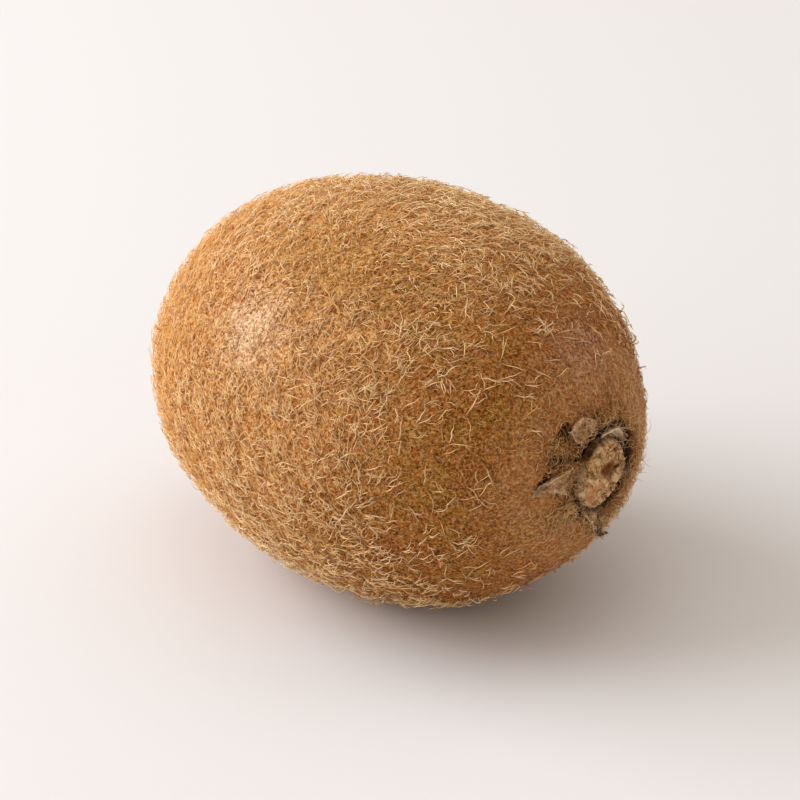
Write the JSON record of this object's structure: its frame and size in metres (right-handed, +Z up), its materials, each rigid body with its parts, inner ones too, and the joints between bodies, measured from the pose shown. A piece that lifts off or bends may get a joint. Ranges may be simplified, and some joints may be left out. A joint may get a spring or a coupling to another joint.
{
  "type": "kiwi fruit",
  "caption": "Whole oval kiwi fruit lying on its side on a small flat spot, with a woody stalk button, dried sepals and a tuft of dried styles at the other end",
  "frame": {"origin": "on the surface the fruit lies on, under the middle of its length and width", "axes": "+Z up; +X along the fruit's long axis towards the stalk end; +Y across it"},
  "size_m": [0.0674, 0.0506, 0.0486],
  "materials": {
    "skin": "satin",
    "button": "matte",
    "sepals": "matte",
    "styles": "matte"
  },
  "bodies": {
    "root": {"fruit_body": "skin", "stem_button": "button", "sepal_front": "sepals", "sepal_upper_front": "sepals", "sepal_upper_back": "sepals", "sepal_back": "sepals", "sepal_lower": "sepals", "style_tuft": "styles"}
  },
  "joints": []
}
